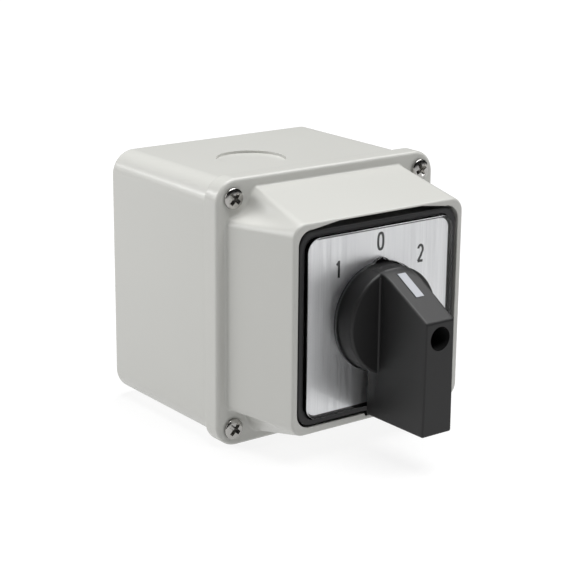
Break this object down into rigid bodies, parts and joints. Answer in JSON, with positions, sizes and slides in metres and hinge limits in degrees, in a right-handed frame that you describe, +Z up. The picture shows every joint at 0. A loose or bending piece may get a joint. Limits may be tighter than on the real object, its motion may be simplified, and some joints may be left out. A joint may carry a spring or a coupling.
{
  "type": "enclosed manual transfer switch",
  "caption": "Wall-mounted rotary cam changeover switch in a square plastic box, lever handle, positions 1-0-2, 90 mm square, with removable cover and contact blocks.",
  "frame": {"origin": "centre of the box's flat back face, on the handle's axis, in the wall plane", "axes": "+Y into the wall along the handle's axis (the front faces -Y), +Z up, +X right as seen from the front"},
  "size_m": [0.09, 0.122, 0.09],
  "materials": {
    "enclosure_plastic": "light warm grey moulded plastic, fine satin texture",
    "gasket_rubber": "matt black elastomer",
    "black_plastic": "satin black moulded plastic",
    "brushed_aluminium": "vertically brushed sheet with black printed numerals",
    "clear_window": "clear gloss plastic",
    "screw_chrome": "bright plated",
    "zinc_steel": "zinc-plated steel",
    "spring_steel": "bright drawn spring steel",
    "brass": "satin brass with silver-coloured pads",
    "body_plastic": "dark moulded thermoset",
    "cam_plastic": "natural off-white acetal",
    "indicator_white": "pale grey-white inlay"
  },
  "bodies": {
    "enclosure": {"enclosure_base": "enclosure_plastic", "enclosure_cover": "enclosure_plastic", "cover_gasket": "gasket_rubber", "cover_screw_1": "screw_chrome", "cover_screw_2": "screw_chrome", "cover_screw_3": "screw_chrome", "cover_screw_4": "screw_chrome", "bezel_frame": "black_plastic", "legend_plate": "brushed_aluminium", "clear_window": "clear_window", "panel_screw_1": "zinc_steel", "panel_screw_2": "zinc_steel", "panel_screw_3": "zinc_steel", "panel_screw_4": "zinc_steel", "mounting_plate": "body_plastic", "detent_housing": "body_plastic", "contact_block_1": "body_plastic", "contact_block_2": "body_plastic", "end_plate": "body_plastic", "tie_bolt_1": "zinc_steel", "tie_bolt_2": "zinc_steel", "fixed_contact_1": "brass", "fixed_contact_2": "brass", "fixed_contact_3": "brass", "fixed_contact_4": "brass", "fixed_contact_5": "brass", "fixed_contact_6": "brass", "fixed_contact_7": "brass", "fixed_contact_8": "brass", "terminal_screw_1": "zinc_steel", "terminal_screw_2": "zinc_steel", "terminal_screw_3": "zinc_steel", "terminal_screw_4": "zinc_steel", "terminal_screw_5": "zinc_steel", "terminal_screw_6": "zinc_steel", "terminal_screw_7": "zinc_steel", "terminal_screw_8": "zinc_steel", "contact_spring_1": "spring_steel", "contact_spring_2": "spring_steel", "contact_spring_3": "spring_steel", "contact_spring_4": "spring_steel", "detent_spring_1": "spring_steel", "detent_spring_2": "spring_steel"},
    "rotor": {"handle": "black_plastic", "handle_screw": "zinc_steel", "position_indicator": "indicator_white", "shaft": "zinc_steel", "detent_wheel": "cam_plastic", "cam_1": "cam_plastic", "cam_2": "cam_plastic"},
    "contact_carrier_1": {"plunger_1": "cam_plastic", "contact_bridge_1": "brass"},
    "contact_carrier_2": {"plunger_2": "cam_plastic", "contact_bridge_2": "brass"},
    "contact_carrier_3": {"plunger_3": "cam_plastic", "contact_bridge_3": "brass"},
    "contact_carrier_4": {"plunger_4": "cam_plastic", "contact_bridge_4": "brass"}
  },
  "joints": [
    {"name": "handle_turn", "type": "hinge", "parent": "enclosure", "child": "rotor", "pos_m": [0, 0, 0], "axis": [0, 1, 0], "range_deg": [-45, 45], "deforming": ["detent_spring_1", "detent_spring_2"]},
    {"name": "plunger_slide_1", "type": "slide", "parent": "enclosure", "child": "contact_carrier_1", "axis": [0, 0, 1], "range_m": [-0.00162, 0.00162], "deforming": ["contact_spring_1"]},
    {"name": "plunger_slide_2", "type": "slide", "parent": "enclosure", "child": "contact_carrier_2", "axis": [0, 0, -1], "range_m": [-0.00162, 0.00162], "deforming": ["contact_spring_2"]},
    {"name": "plunger_slide_3", "type": "slide", "parent": "enclosure", "child": "contact_carrier_3", "axis": [0, 0, 1], "range_m": [-0.00162, 0.00162], "deforming": ["contact_spring_3"]},
    {"name": "plunger_slide_4", "type": "slide", "parent": "enclosure", "child": "contact_carrier_4", "axis": [0, 0, -1], "range_m": [-0.00162, 0.00162], "deforming": ["contact_spring_4"]}
  ],
  "couplings": [
    {"joint": "plunger_slide_1", "follows": "handle_turn", "m_per_rad": 0.002037},
    {"joint": "plunger_slide_2", "follows": "handle_turn", "m_per_rad": -0.002037},
    {"joint": "plunger_slide_3", "follows": "handle_turn", "m_per_rad": 0.002037},
    {"joint": "plunger_slide_4", "follows": "handle_turn", "m_per_rad": -0.002037}
  ]
}
